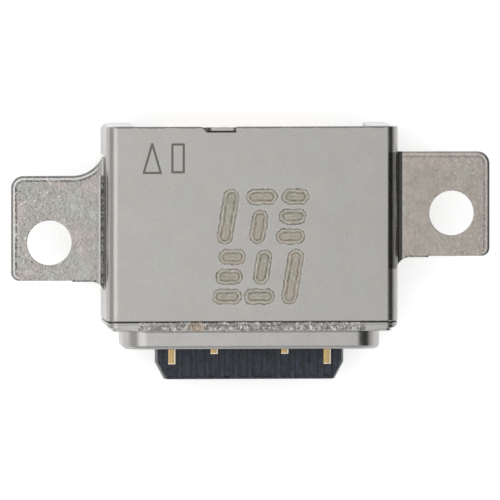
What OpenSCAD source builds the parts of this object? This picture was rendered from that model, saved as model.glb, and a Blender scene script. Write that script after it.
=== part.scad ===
// Board socket for a reversible 24-way plug, with two screw ears.
// X runs across the socket, +Y to its rear and +Z up. The collar's front face is at y = 0,
// the middle of the plug opening at x = 0, and the board at z = 0. Millimetres.

/* [Plug opening] */
// Width of the plug opening
mouth_w = 8.34; // [8.1:0.02:8.6]
// Height of the plug opening
mouth_h = 2.56; // [2.4:0.02:2.8]
// Depth from the lip's front edge to the back wall of the opening
mouth_depth = 4.3; // [4:0.05:4.6]
// Chamfer round the inside of the lip
lead_in = 0.1; // [0.04:0.01:0.15]

/* [Lip and collar] */
// Wall of the lip
lip_wall = 0.38; // [0.32:0.01:0.46]
// Length of the lip in front of the collar
lip_len = 0.64; // [0.4:0.02:1]
// Rounding of the lip's outer front edge
lip_edge_r = 0.15; // [0.05:0.01:0.2]
// Radius of the lip's four outer corners, seen from the front
lip_corner_r = 0.85; // [0.6:0.05:1.6]
// How far the collar stands out past the lip on each side
collar_reach = 0.6; // [0.5:0.02:0.8]
// Length of the collar's low front band, where the weld runs
weld_band_len = 0.23; // [0.15:0.01:0.4]
// Length of the collar's high rear band
rear_band_len = 0.1; // [0.06:0.01:0.2]
// Height of the rear band above the weld band
band_step = 0.06; // [0.02:0.01:0.08]
// Drop from the cover's top face to the collar's rear band
collar_drop = 0.05; // [0.02:0.01:0.1]
// Radius of the collar's front corners, seen from above
collar_corner_r = 0.2; // [0.1:0.01:0.2]
// How far the collar's front face falls back at its two shoulders
shoulder_back = 0.11; // [0.02:0.01:0.11]
// Length over which it falls back
shoulder_run = 0.8; // [0.3:0.05:1.2]

/* [Cover] */
// Sheet thickness of the cover
sheet_t = 0.2; // [0.15:0.01:0.25]
// Inside radius of the cover's long bends
bend_r = 0.2; // [0.12:0.01:0.3]
// Length of the cover's top plate
cover_len = 6.86; // [6.6:0.02:7.4]
// Gap between the cover's front edge and the collar
cover_gap = 0.03; // [0.02:0.01:0.06]
// How far the cover's side walls stay above the board
wall_foot = 0.1; // [0.04:0.01:0.3]
// Reach of each tab that wraps round a rear corner
wrap_reach = 1; // [0.8:0.02:1.2]
// Slot between the top bend and each wrapped tab
wrap_slot = 0.1; // [0.05:0.01:0.2]
// Inside radius where each tab turns round its corner
wrap_bend_r = 0.05; // [0.03:0.01:0.2]

/* [Locating notch] */
// Place of the notch along X
notch_x = -1.145; // [-2.5:0.005:2.5]
// Width of the notch
notch_w = 1.13; // [0.8:0.01:1.6]
// Depth of the notch
notch_depth = 0.2; // [0.15:0.01:0.28]
// Chamfer at the notch's left corner
notch_chamfer = 0.1; // [0.04:0.01:0.14]
// Gap to the left of the shell's tab
notch_gap_left = 0.18; // [0.08:0.01:0.25]
// Gap to the right of the shell's tab
notch_gap_right = 0.07; // [0.04:0.01:0.15]

/* [Ears] */
// Drop from the cover's top face to the ears' top face
ear_drop = 0.98; // [0.9:0.02:1.5]
// Reach of each ear past the side wall
ear_reach = 3.31; // [2.9:0.01:4]
// Inside radius of the bend at each ear's root
ear_bend_r = 0.1; // [0.06:0.01:0.2]
// Radius of the screw holes
hole_r = 0.79; // [0.6:0.01:0.9]
// Distance from the ear's tip to the screw hole's axis
hole_from_tip = 1.35; // [1.2:0.01:1.6]
// Left hole's axis behind the cover's front edge
left_hole_y = 2.74; // [2.4:0.01:3]
// Right hole's axis behind the cover's front edge
right_hole_y = 3.75; // [3.4:0.01:3.9]
// Left ear in front of its hole's axis
left_ear_front = 1.34; // [1.2:0.02:1.6]
// Left ear behind its hole's axis
left_ear_rear = 2.36; // [1.8:0.02:2.6]
// Right ear in front of its hole's axis
right_ear_front = 1.52; // [1.2:0.02:1.8]
// Right ear behind its hole's axis
right_ear_rear = 2.18; // [1.6:0.02:2.2]
// Radius of the ears' rear corners
ear_rear_r = 0.44; // [0.1:0.02:0.6]
// Radius of the ears' front corners
ear_front_r = 0.29; // [0.1:0.01:0.6]
// Fillet at the rear root of the left ear
left_root_r = 1.13; // [0.6:0.01:1.2]
// Fillet at the rear root of the right ear
right_root_r = 0.1; // [0.06:0.01:0.3]
// Fillet at the front root of both ears
front_root_r = 0.48; // [0.2:0.01:0.6]
// Part of the long fillets that is kept before the side wall goes on down
root_share = 0.6; // [0.4:0.05:1]
// Width of the step at each ear's front edge, from the root
ear_step_w = 1.15; // [0.8:0.05:1.5]
// Height of that step
ear_step = 0.04; // [0.02:0.01:0.08]

/* [Tongue] */
// Reach of the tongue in front of the lip
tongue_out = 1.12; // [0.8:0.02:1.4]
// Thickness of the tongue
tongue_t = 0.7; // [0.66:0.01:0.8]
// Tongue's edge past the outer contacts, on each side
tongue_margin = 0.365; // [0.35:0.005:0.6]
// Length of the tongue's slanted front corners
taper_len = 0.6; // [0.4:0.02:0.8]
// How far each corner slants inwards
taper_in = 0.32; // [0.2:0.01:0.36]
// Length of the thick root of the tongue
root_len = 1; // [0.7:0.05:1.3]
// Thickness of the root
root_t = 1.3; // [1.1:0.02:1.5]
// Depth of the moulded lanes in front of the contacts
lane_depth = 0.07; // [0.02:0.01:0.08]
// Plastic left in front of each lane
lane_stop = 0.09; // [0.06:0.01:0.2]

/* [Contacts] */
// Spacing of the contacts
contact_pitch = 0.5; // [0.46:0.01:0.52]
// Width of a contact
contact_w = 0.28; // [0.22:0.01:0.32]
// Thickness of a contact
contact_t = 0.15; // [0.1:0.01:0.17]
// Ground contacts' ends behind the tongue's tip
ground_setback = 0.52; // [0.3:0.02:0.8]
// Power contacts' ends behind the tongue's tip
power_setback = 0.88; // [0.5:0.02:1.2]
// Signal contacts' ends behind the tongue's tip
signal_setback = 1.3; // [0.9:0.05:1.6]
// Inside radius of the contacts' bends
contact_bend_r = 0.1; // [0.06:0.01:0.14]
// Length of the soldered feet
foot_len = 0.36; // [0.2:0.02:0.44]

/* [Mid plate] */
// Thickness of the mid plate
plate_t = 0.2; // [0.12:0.01:0.24]
// How far the plate's edges stand out of the tongue
plate_proud = 0.08; // [0.01:0.01:0.08]
// Width of the plate's bare front corners
plate_corner_w = 0.17; // [0.1:0.01:0.3]
// Plastic in front of the plate between its corners
plate_cover = 0.15; // [0.1:0.01:0.3]
// Front of the latch notches behind the lip's front edge
latch_y = 0.75; // [0.5:0.05:1]
// Length of the latch notches
latch_len = 1.1; // [0.8:0.05:1.3]
// Depth of the latch notches
latch_depth = 0.33; // [0.25:0.01:0.34]
// Width of the plate's two ground legs
leg_w = 0.35; // [0.25:0.01:0.36]

/* [Ground plates] */
// Sheet thickness of the ground plates
ground_t = 0.12; // [0.08:0.01:0.15]
// How far their upright flanges stay from the opening's wall
ground_gap = 0.1; // [0.05:0.01:0.15]
// Bare plastic on each side of the ground plates
ground_margin = 0.3; // [0.2:0.02:0.5]

/* [Insulators] */
// Length of the tongue body's full section, behind the opening
block_len = 0.7; // [0.6:0.02:0.9]
// Room behind the upper insulator for its tails
tail_room = 0.86; // [0.82:0.01:1]
// How far the lower insulator ends in front of the upper one
row_gap = 1.25; // [1.1:0.01:1.3]
// Length of the shell's floor left under the insulators
floor_lap = 0.1; // [0.05:0.05:0.5]
// Room between the outer tails and the sides of the shell's tail window
tail_margin = 1.01; // [0.8:0.01:1.2]

/* [Fits] */
// Gap between the cover and the shell inside it
cover_fit = 0.02; // [0.01:0.01:0.05]
// Gap between the insulators and the opening's wall
insert_fit = 0.02; // [0.01:0.01:0.04]

/* [Hidden] */
CONTACTS = 12;
$fn = 64;
over = 0.5; // how far a cutter runs past what it cuts

lip_w = mouth_w + 2 * lip_wall;
lip_h = mouth_h + 2 * lip_wall;
mid_z = lip_h / 2;
lip_front = -lip_len;
mouth_rear = lip_front + mouth_depth;
cover_w = lip_w + 2 * collar_reach;
cover_top = lip_h + cover_fit + sheet_t;
collar_rear = weld_band_len + rear_band_len;
cover_front = collar_rear + cover_gap;
cover_rear = cover_front + cover_len;
bend_out = bend_r + sheet_t;
wrap_out = wrap_bend_r + sheet_t;
front_keep = ear_step + root_share * front_root_r;
left_keep = root_share * left_root_r;

rear_band_top = cover_top - collar_drop;
weld_band_top = rear_band_top - band_step;

shell_w = cover_w - 2 * sheet_t - 2 * cover_fit;
shell_rear = cover_rear - sheet_t - cover_fit;
roof_w = cover_w - 2 * wrap_reach - 4 * cover_fit;
roof_rear = cover_rear - 2 * cover_fit;

ear_top = cover_top - ear_drop;
ear_tip = cover_w / 2 + ear_reach;

tongue_w = (CONTACTS - 1) * contact_pitch + contact_w + 2 * tongue_margin;
tongue_tip = lip_front - tongue_out;
root_y = mouth_rear - root_len;
block_rear = mouth_rear + block_len;
upper_rear = cover_rear - tail_room;
lower_rear = upper_rear - row_gap;
contact_out_r = contact_bend_r + contact_t;

plate_w = tongue_w + 2 * plate_proud;
plate_out_r = contact_bend_r + plate_t;
plate_leg_y = lower_rear + 2 * contact_out_r;
window_w = (CONTACTS - 1) * contact_pitch + contact_w + 2 * tail_margin;

steel = [0.68, 0.67, 0.65];
plate_steel = [0.74, 0.75, 0.76];
moulding = [0.17, 0.19, 0.23];
gold = [0.85, 0.66, 0.36];

// A drawing in X and Z, pushed along Y from y0
module along_y(y0, len) {
    translate([0, y0 + len, 0])
        rotate([90, 0, 0])
            linear_extrude(len)
                children();
}

// A drawing in Y and Z, pushed across X by w, centred on x0
module across_x(x0, w) {
    translate([x0 - w / 2, 0, 0])
        rotate([90, 0, 90])
            linear_extrude(w)
                children();
}

// One quarter of a sheet bend: the quarter right of and above its centre
module quarter_bend(r_in, t) {
    intersection() {
        difference() {
            circle(r_in + t);
            circle(r_in);
        }
        square(r_in + t + over);
    }
}

// A rectangle standing on z = 0 with rounded upper corners
module arched(w, h, r) {
    translate([-w / 2, 0])
        square([w, h - r]);
    translate([r - w / 2, 0])
        square([w - 2 * r, h]);
    for (side = [-1, 1])
        translate([side * (w / 2 - r), h - r])
            circle(r);
}

// A rectangle standing on z = 0 with all its corners rounded
module rounded(w, h, r) {
    intersection() {
        arched(w, h, r);
        translate([0, h])
            mirror([0, 1])
                arched(w, h, r);
    }
}

// The opening's outline as a bar along Y, centred on the middle of the opening
module obround_bar(w, h, y0, len) {
    translate([0, y0, mid_z]) {
        for (side = [-1, 1])
            translate([side * (w - h) / 2, 0, 0])
                rotate([-90, 0, 0])
                    cylinder(r = h / 2, h = len);
        translate([-(w - h) / 2, 0, -h / 2])
            cube([w - h, len, h]);
    }
}

// The lip's section from a middle line out to its face at r, and back from its front edge along Y
module lip_profile(r) {
    translate([0, lip_edge_r])
        square([r, lip_len + over - lip_edge_r]);
    square([r - lip_edge_r, lip_len + over]);
    translate([r - lip_edge_r, lip_edge_r])
        circle(lip_edge_r);
}

// A bar with rounded corners and a rounded front edge
module lip_bar() {
    corner_x = lip_w / 2 - lip_corner_r;
    corner_z = lip_h / 2 - lip_corner_r;
    translate([0, lip_front, mid_z]) {
        for (side = [-1, 1])
            for (up = [-1, 1])
                translate([side * corner_x, 0, up * corner_z])
                    rotate([-90, 0, 0])
                        rotate_extrude()
                            lip_profile(lip_corner_r);
        for (up = [0, 1])
            mirror([0, 0, up])
                across_x(0, 2 * corner_x)
                    mirror([1, -1])
                        lip_profile(lip_h / 2);
        for (side = [0, 1])
            mirror([side, 0, 0])
                translate([0, 0, -corner_z])
                    linear_extrude(2 * corner_z)
                        lip_profile(lip_w / 2);
    }
}

// The chamfer at the opening's front edge
module lead_in_cutter() {
    r = mouth_h / 2;
    flat = mouth_w - mouth_h;
    translate([0, lip_front, mid_z]) {
        for (side = [-1, 1])
            translate([side * flat / 2, -lead_in, 0])
                rotate([-90, 0, 0])
                    cylinder(r1 = r + 2 * lead_in, r2 = r, h = 2 * lead_in);
        across_x(0, flat)
            polygon([
                [-lead_in, r + 2 * lead_in],
                [lead_in, r],
                [lead_in, -r],
                [-lead_in, -r - 2 * lead_in]
            ]);
    }
}

// The shell's outline from above: square at the front, rounded at its rear corners
module shell_plan() {
    translate([-shell_w / 2, 0])
        square([shell_w, shell_rear - bend_r]);
    translate([bend_r - shell_w / 2, 0])
        square([shell_w - 2 * bend_r, shell_rear]);
    for (side = [-1, 1])
        translate([side * (shell_w / 2 - bend_r), shell_rear - bend_r])
            circle(bend_r);
}

// The collar from above: straight in the middle, falling back to a rounded corner on each side
module collar_plan() {
    w = cover_w / 2;
    r = collar_corner_r;
    polygon([
        [-w, collar_rear + over],
        [-w, shoulder_back + r],
        [r - w, shoulder_back],
        [r + shoulder_run - w, 0],
        [w - r - shoulder_run, 0],
        [w - r, shoulder_back],
        [w, shoulder_back + r],
        [w, collar_rear + over]
    ]);
    for (side = [-1, 1])
        translate([side * (w - r), shoulder_back + r])
            circle(r);
}

// The collar: a low band that carries the weld and a higher one against the cover
module collar() {
    intersection() {
        union() {
            along_y(0, weld_band_len)
                rounded(cover_w, weld_band_top, bend_out);
            along_y(weld_band_len, rear_band_len)
                rounded(cover_w, rear_band_top, bend_out);
        }
        translate([0, 0, -over])
            linear_extrude(cover_top + 2 * over)
                collar_plan();
    }
}

// The tab that stands up into the cover's notch
module notch_tab() {
    w = notch_w - notch_gap_left - notch_gap_right;
    y0 = cover_rear - notch_depth + 2 * cover_fit;
    translate([notch_x - notch_w / 2 + notch_gap_left, y0, lip_h - lip_wall / 2])
        cube([w, roof_rear - y0, lip_wall / 2 + sheet_t * 0.75]);
}

module main_shell() {
    color(steel)
    difference() {
        union() {
            lip_bar();
            collar();
            intersection() {
                along_y(0, shell_rear)
                    rounded(shell_w, lip_h, bend_r);
                translate([0, 0, -over])
                    linear_extrude(lip_h + 2 * over)
                        shell_plan();
            }
            translate([-roof_w / 2, shell_rear - 2 * bend_r, lip_h - lip_wall])
                cube([roof_w, roof_rear - shell_rear + 2 * bend_r, lip_wall]);
            notch_tab();
        }
        obround_bar(mouth_w, mouth_h, lip_front - over, roof_rear - lip_front + 2 * over);
        lead_in_cutter();
        translate([-window_w / 2, block_rear + floor_lap, -over])
            cube([window_w, cover_rear, mid_z + over]);
    }
}

// Bent sheet from the side wall out to an ear, on the right-hand side
module ear_profile() {
    x0 = cover_w / 2;
    bend_z = ear_top + ear_bend_r;
    translate([x0 - sheet_t, bend_z])
        square([sheet_t, cover_top - bend_out - bend_z]);
    translate([x0 + ear_bend_r, bend_z])
        rotate(180)
            quarter_bend(ear_bend_r, sheet_t);
    translate([x0 + ear_bend_r, ear_top - sheet_t])
        square([ear_reach - ear_bend_r, sheet_t]);
}

// A fillet in the corner of the origin, opening up and to the right
module root_fillet(r) {
    difference() {
        translate([-sheet_t, -sheet_t])
            square(r + sheet_t);
        translate([r, r])
            circle(r);
    }
}

// An ear from above, on the right-hand side; y is measured from the hole's axis
module ear_plan(front, rear, rear_root) {
    x0 = cover_w / 2;
    r1 = ear_rear_r;
    r2 = ear_front_r;
    translate([x0 - sheet_t, -front])
        square([ear_reach + sheet_t - max(r1, r2), front + rear]);
    translate([ear_tip - max(r1, r2) - over, r2 - front])
        square([max(r1, r2) + over, front + rear - r1 - r2]);
    translate([ear_tip - r1 - over, rear - r1 - over])
        square([over, r1 + over]);
    translate([ear_tip - r2 - over, -front])
        square([over, r2 + over]);
    translate([ear_tip - r1, rear - r1])
        circle(r1);
    translate([ear_tip - r2, r2 - front])
        circle(r2);
    translate([x0 - sheet_t, -front - ear_step])
        square([ear_step_w + sheet_t, front]);
    translate([x0, rear])
        root_fillet(rear_root);
    translate([x0, -front - ear_step])
        mirror([0, 1])
            root_fillet(front_root_r);
}

// One ear, on the right-hand side; rear_keep is how much of the rear fillet it keeps
module ear(hole_y, front, rear, rear_root, rear_keep) {
    y0 = cover_front + hole_y;
    intersection() {
        along_y(y0 - front - front_keep, front + front_keep + rear + rear_keep)
            ear_profile();
        translate([0, y0, 0])
            linear_extrude(cover_top)
                ear_plan(front, rear, rear_root);
    }
}

// What the flat blank gives up to the ear: the side wall below the ear's bend
module ear_relief(hole_y, front, rear, rear_keep) {
    translate([cover_w / 2 - sheet_t - over, cover_front + hole_y - front - front_keep, -over])
        cube([
            sheet_t + 2 * over,
            front + front_keep + rear + rear_keep,
            ear_top + ear_bend_r + over
        ]);
}

// The cover's channel section with its rear corners wrapped inwards
module cover_channel() {
    wrap_top = cover_top - bend_out - wrap_slot;
    difference() {
        along_y(cover_front, cover_len)
            difference() {
                arched(cover_w, cover_top, bend_out);
                arched(cover_w - 2 * sheet_t, cover_top - sheet_t, bend_r);
                translate([-cover_w / 2, 0])
                    square([cover_w, wall_foot]);
            }
        for (side = [-1, 1])
            translate([side * (cover_w / 2 - sheet_t / 2) - sheet_t, cover_rear - wrap_out, 0])
                cube([2 * sheet_t, wrap_out + over, wrap_top + wrap_slot]);
    }
    for (side = [0, 1])
        mirror([side, 0, 0])
            translate([0, 0, wall_foot])
                linear_extrude(wrap_top - wall_foot) {
                    translate([cover_w / 2 - sheet_t, cover_rear - wrap_out - sheet_t])
                        square([sheet_t, sheet_t]);
                    translate([cover_w / 2 - wrap_out, cover_rear - wrap_out])
                        quarter_bend(wrap_bend_r, sheet_t);
                    translate([cover_w / 2 - wrap_reach, cover_rear - sheet_t])
                        square([wrap_reach - wrap_out, sheet_t]);
                }
}

module notch_cutter() {
    x0 = notch_x - notch_w / 2;
    y0 = cover_rear - notch_depth;
    translate([0, 0, cover_top - bend_out])
        linear_extrude(bend_out + over)
            polygon([
                [x0 - notch_chamfer, cover_rear + over],
                [x0 - notch_chamfer, cover_rear],
                [x0 + notch_chamfer, y0],
                [x0 + notch_w, y0],
                [x0 + notch_w, cover_rear + over]
            ]);
}

module screw_hole(x, hole_y) {
    translate([x, cover_front + hole_y, ear_top - 2 * sheet_t])
        cylinder(r = hole_r, h = 3 * sheet_t);
}

module outer_cover() {
    hole_x = ear_tip - hole_from_tip;
    color(steel)
    difference() {
        union() {
            difference() {
                cover_channel();
                mirror([1, 0, 0])
                    ear_relief(left_hole_y, left_ear_front, left_ear_rear, left_keep);
                ear_relief(right_hole_y, right_ear_front, right_ear_rear, right_root_r);
            }
            mirror([1, 0, 0])
                ear(left_hole_y, left_ear_front, left_ear_rear, left_root_r, left_keep);
            ear(right_hole_y, right_ear_front, right_ear_rear, right_root_r, right_root_r);
        }
        notch_cutter();
        screw_hole(-hole_x, left_hole_y);
        screw_hole(hole_x, right_hole_y);
    }
}

// The tongue from above, grown by g on every side but the front
module tongue_plan(g, y_end) {
    w = tongue_w / 2;
    polygon([
        [taper_in - w - g, tongue_tip],
        [-w - g, tongue_tip + taper_len],
        [-w - g, y_end],
        [w + g, y_end],
        [w + g, tongue_tip + taper_len],
        [w - taper_in + g, tongue_tip]
    ]);
}

// The latch recesses at both edges, longer and deeper by g
module latch_notches(g) {
    for (side = [-1, 1])
        translate([side * plate_w / 2 - latch_depth - g, lip_front + latch_y - g])
            square([2 * (latch_depth + g), latch_len + 2 * g]);
}

function contact_x(n) = (n - (CONTACTS + 1) / 2) * contact_pitch;
function is_ground(n) = n == 1 || n == CONTACTS;
function is_power(n) = n == 4 || n == CONTACTS - 3;
function setback(n) = is_ground(n) ? ground_setback : is_power(n) ? power_setback : signal_setback;
function contact_front(n) = tongue_tip + setback(n);

// A bent strip in Y and Z: level at the top, down at y_bend, and out to the rear on the board
module strip(y0, z_top, y_bend, t, foot) {
    r = contact_bend_r + t;
    translate([y0, z_top - t])
        square([y_bend - r - y0, t]);
    translate([y_bend - r, z_top - r])
        quarter_bend(contact_bend_r, t);
    translate([y_bend - t, r])
        square([t, z_top - 2 * r]);
    translate([y_bend + contact_bend_r, r])
        rotate(180)
            quarter_bend(contact_bend_r, t);
    translate([y_bend + contact_bend_r, 0])
        square([foot, t]);
}

module contact(n, z_top, rear) {
    color(gold)
        across_x(contact_x(n), contact_w)
            strip(contact_front(n), z_top, rear + contact_out_r, contact_t, foot_len);
}

module upper_contact(n) {
    contact(n, mid_z + tongue_t / 2, upper_rear);
}

module lower_contact(n) {
    contact(n, mid_z - tongue_t / 2 + contact_t, lower_rear);
}

// The straight pockets that one row of contacts fills, from z up to z + contact_t
module contact_pockets(z, rear) {
    for (n = [1:CONTACTS])
        translate([contact_x(n) - contact_w / 2, contact_front(n), z])
            cube([contact_w, rear + over - contact_front(n), contact_t]);
}

// The shallow lanes moulded in front of each contact, cut down from z
module lanes(z) {
    y0 = tongue_tip + lane_stop;
    for (n = [1:CONTACTS])
        translate([contact_x(n) - contact_w / 2, y0, z])
            cube([contact_w, contact_front(n) - y0, over]);
}

module mid_plate_plan() {
    leg_x = plate_w / 2 - leg_w;
    corner_x = tongue_w / 2 - taper_in - plate_corner_w;
    difference() {
        tongue_plan(plate_proud, upper_rear - row_gap);
        translate([-corner_x, tongue_tip - over])
            square([2 * corner_x, over + plate_cover]);
        latch_notches(0);
    }
    for (side = [-1, 1])
        translate([side * (leg_x + leg_w / 2) - leg_w / 2, lower_rear - over])
            square([leg_w, plate_leg_y - plate_out_r - lower_rear + over]);
}

module mid_plate_flat() {
    translate([0, 0, mid_z - plate_t / 2])
        linear_extrude(plate_t)
            mid_plate_plan();
}

module mid_plate() {
    leg_x = plate_w / 2 - leg_w / 2;
    y0 = plate_leg_y - plate_out_r;
    color(plate_steel)
    union() {
        mid_plate_flat();
        for (side = [-1, 1])
            across_x(side * leg_x, leg_w)
                strip(y0 - contact_t, mid_z + plate_t / 2, plate_leg_y, plate_t, foot_len);
    }
}

// An L of sheet on the tongue's root and against the back wall, above the middle
module ground_plate() {
    w = tongue_w - 2 * ground_margin;
    z0 = root_t / 2;
    top = mouth_h / 2 - ground_gap;
    rear = mouth_rear - insert_fit;
    translate([0, 0, mid_z])
        across_x(0, w) {
            translate([root_y, z0])
                square([rear - ground_t - root_y, ground_t]);
            translate([rear - ground_t, z0])
                square([ground_t, top - z0]);
        }
}

module upper_ground_plate() {
    color(plate_steel)
        ground_plate();
}

module lower_ground_plate() {
    color(plate_steel)
        translate([0, 0, 2 * mid_z])
            mirror([0, 0, 1])
                ground_plate();
}

module insulator_bar(y0, y1) {
    obround_bar(mouth_w - 2 * insert_fit, mouth_h - 2 * insert_fit, y0, y1 - y0);
}

module tongue_body() {
    color(moulding)
    difference() {
        union() {
            difference() {
                translate([0, 0, mid_z - tongue_t / 2])
                    linear_extrude(tongue_t)
                        tongue_plan(0, mouth_rear + over);
                translate([0, 0, mid_z - tongue_t])
                    linear_extrude(2 * tongue_t)
                        latch_notches(plate_proud);
            }
            translate([-tongue_w / 2, root_y, mid_z - root_t / 2])
                cube([tongue_w, root_len + over, root_t]);
            insulator_bar(mouth_rear, block_rear);
        }
        mid_plate_flat();
        contact_pockets(mid_z + tongue_t / 2 - contact_t, block_rear);
        contact_pockets(mid_z - tongue_t / 2, block_rear);
        lanes(mid_z + tongue_t / 2 - lane_depth);
        lanes(mid_z - tongue_t / 2 + lane_depth - over);
    }
}

module upper_insulator() {
    color(moulding)
    difference() {
        intersection() {
            insulator_bar(block_rear, upper_rear);
            translate([-mouth_w / 2, 0, mid_z])
                cube([mouth_w, cover_rear, mouth_h]);
        }
        mid_plate();
        contact_pockets(mid_z + tongue_t / 2 - contact_t, upper_rear);
    }
}

module lower_insulator() {
    color(moulding)
    difference() {
        intersection() {
            insulator_bar(block_rear, lower_rear);
            translate([-mouth_w / 2, 0, mid_z - mouth_h])
                cube([mouth_w, cover_rear, mouth_h]);
        }
        mid_plate_flat();
        contact_pockets(mid_z - tongue_t / 2, lower_rear);
    }
}

outer_cover();
main_shell();
tongue_body();
upper_insulator();
lower_insulator();
mid_plate();
upper_ground_plate();
lower_ground_plate();
for (n = [1:CONTACTS]) {
    upper_contact(n);
    lower_contact(n);
}
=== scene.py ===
# %% [markdown]
# # A board socket for a reversible plug
# The socket is a folded steel cover with two screw ears, a steel shell with a short lip, and a
# dark moulded tongue with gilt contacts. The solids come from the CAD model and stay where they
# are. Here each one gets what its maker's tools leave on it: rolled and broken edges, a brushed
# or mottled surface, a laser weld and laser marks.

# %% Load the frame
import math
import random
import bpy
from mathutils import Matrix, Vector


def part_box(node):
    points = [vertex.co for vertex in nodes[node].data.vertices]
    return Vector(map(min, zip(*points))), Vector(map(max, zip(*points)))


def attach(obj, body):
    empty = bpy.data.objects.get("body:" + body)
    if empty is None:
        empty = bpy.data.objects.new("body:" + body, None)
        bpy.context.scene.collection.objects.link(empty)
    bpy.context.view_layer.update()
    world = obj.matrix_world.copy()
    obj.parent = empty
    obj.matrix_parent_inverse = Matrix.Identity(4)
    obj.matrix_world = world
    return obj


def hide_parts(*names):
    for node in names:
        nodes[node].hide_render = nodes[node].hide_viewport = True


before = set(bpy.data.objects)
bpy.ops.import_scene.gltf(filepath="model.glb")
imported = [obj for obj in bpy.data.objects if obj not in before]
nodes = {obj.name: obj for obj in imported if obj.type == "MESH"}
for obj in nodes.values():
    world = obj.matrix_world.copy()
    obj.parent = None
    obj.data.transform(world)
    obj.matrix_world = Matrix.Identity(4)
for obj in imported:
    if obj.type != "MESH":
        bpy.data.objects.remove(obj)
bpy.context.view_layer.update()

from types import SimpleNamespace

import bmesh
import bpy
from mathutils import Matrix, Vector

# %% [markdown]
# The frame is in metres and the part is a few millimetres long, so every small size below is
# written in millimetres and multiplied by `mm`. The places that matter later are read off the
# solids' boxes: the cover's top, the side walls, and the middle height of the tongue, which is
# also the middle of the opening.

# %% Sizes read from the solids
mm = 0.001
cover_low, cover_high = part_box("outer_cover")
shell_low, shell_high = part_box("main_shell")
tongue_low, tongue_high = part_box("tongue_body")

top_z = cover_high.z
wall_x = shell_high.x
middle_y = (cover_low.y + cover_high.y) / 2
plug_z = round((tongue_low.z + tongue_high.z) / 2 / mm, 3) * mm
print("cover", round(2 * wall_x / mm, 2), "mm wide, top at", round(top_z / mm, 2), "mm")

# %% [markdown]
# ## From a CAD solid to a piece with broken edges
# A CAD solid arrives as loose triangles with knife-sharp corners. No stamped or moulded part has
# such corners: they catch light along a thin line. So each solid is copied, its triangles are
# merged, flat faces are made whole again, and every outer edge is marked with how far it is to be
# rounded. A Bevel modifier then rounds them. Its result is kept as the piece's mesh, because the
# last step gives that mesh normals which keep the flats flat beside their new rounded edges.

# %% Merge a copy of a solid
FLAT = math.radians(0.5)
SHARP = math.radians(28)
MERGE = 0.0002 * mm
GENTLE = math.cos(math.radians(50))


def merged_copy(node):
    """One closed skin made from a copy of a node's loose triangles."""
    bm = bmesh.new()
    bm.from_mesh(nodes[node].data)
    bmesh.ops.remove_doubles(bm, verts=bm.verts, dist=MERGE)
    return bm


def flat_patch(start, left):
    """The faces flat with start that join it without crossing a seam, taken out of left."""
    patch, waiting = [start], [start]
    while waiting:
        for edge in waiting.pop().edges:
            for face in () if edge.seam else edge.link_faces:
                if face in left and face.normal.angle(start.normal, 0) < FLAT:
                    del left[face]
                    patch.append(face)
                    waiting.append(face)
    return patch


def make_faces_whole(bm, cuts=()):
    """Joins triangles that lie flat together. Each cut is a point and a direction: the plane there
    parts a face that has a hole in it into faces that have none, with edges square to its rim."""
    for place, across in cuts:
        everything = [*bm.verts, *bm.edges, *bm.faces]
        cut = bmesh.ops.bisect_plane(
            bm, geom=everything, dist=MERGE, plane_co=place, plane_no=across
        )
        for edge in cut["geom_cut"]:
            if isinstance(edge, bmesh.types.BMEdge):
                edge.seam = True
    bm.normal_update()
    left = dict.fromkeys(sorted(bm.faces, key=lambda f: -f.calc_area()))
    patches = []
    while left:
        start = next(iter(left))
        del left[start]
        patches.append(flat_patch(start, left))
    for patch in patches:
        if len(patch) > 1:
            bmesh.ops.dissolve_faces(bm, faces=patch)


# %% Give a coarse round edge more segments
def finer_round(bm, centre, radius, cuts=2):
    """Splits the short edges round an upright axis, and puts the new points on the circle."""
    def on_circle(v):
        return abs((v.co.xy - centre).length - radius) < 0.002 * mm

    def level(e):
        return abs(e.verts[0].co.z - e.verts[1].co.z) < MERGE

    rim = [e for e in bm.edges if level(e) and all(on_circle(v) for v in e.verts)]
    made = bmesh.ops.subdivide_edges(
        bm, edges=rim, cuts=cuts, use_grid_fill=True, use_only_quads=True
    )
    for v in made["geom_inner"]:
        if isinstance(v, bmesh.types.BMVert):
            arm = v.co.xy - centre
            v.co.xy = centre + arm * (radius / arm.length)
    return len(rim)


# %% Mark the edges that get rounded
def mark_edges(bm, widest, width_at):
    """Weighs each outer sharp edge by its width over the widest; inner ones stay sharp."""
    weight = bm.edges.layers.float.new("bevel_weight_edge")
    marked = 0
    for e in bm.edges:
        if len(e.link_faces) != 2 or abs(e.calc_face_angle(0)) < SHARP:
            continue
        e[weight] = width_at(e) / widest if e.is_convex else 0.0
        e.smooth = e[weight] > 0
        marked += e.smooth
    return marked


# %% Turn a bmesh into a finished piece
def add_piece(bm, name, material, stands_for=()):
    """Makes the object, smooth-shaded, and hands it to the frame."""
    mesh = bpy.data.meshes.new(name)
    for face in bm.faces:
        face.smooth = True
    bm.to_mesh(mesh)
    bm.free()
    piece = bpy.data.objects.new(name, mesh)
    bpy.context.scene.collection.objects.link(piece)
    mesh.materials.append(material)
    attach(piece, "root")
    if stands_for:
        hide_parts(*stands_for)
    return piece


def even_normals(mesh):
    """Gives each corner the mean normal, by area, of the faces that bend gently into its own."""
    round_vertex = [[] for v in mesh.vertices]
    for face in mesh.polygons:
        for v in face.vertices:
            round_vertex[v].append(face)
    normals = []
    for face in mesh.polygons:
        for v in face.vertices:
            near = [f for f in round_vertex[v] if face.normal.dot(f.normal) > GENTLE]
            normals.append(sum((f.normal * f.area for f in near), Vector()).normalized())
    mesh.normals_split_custom_set(normals)


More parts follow.
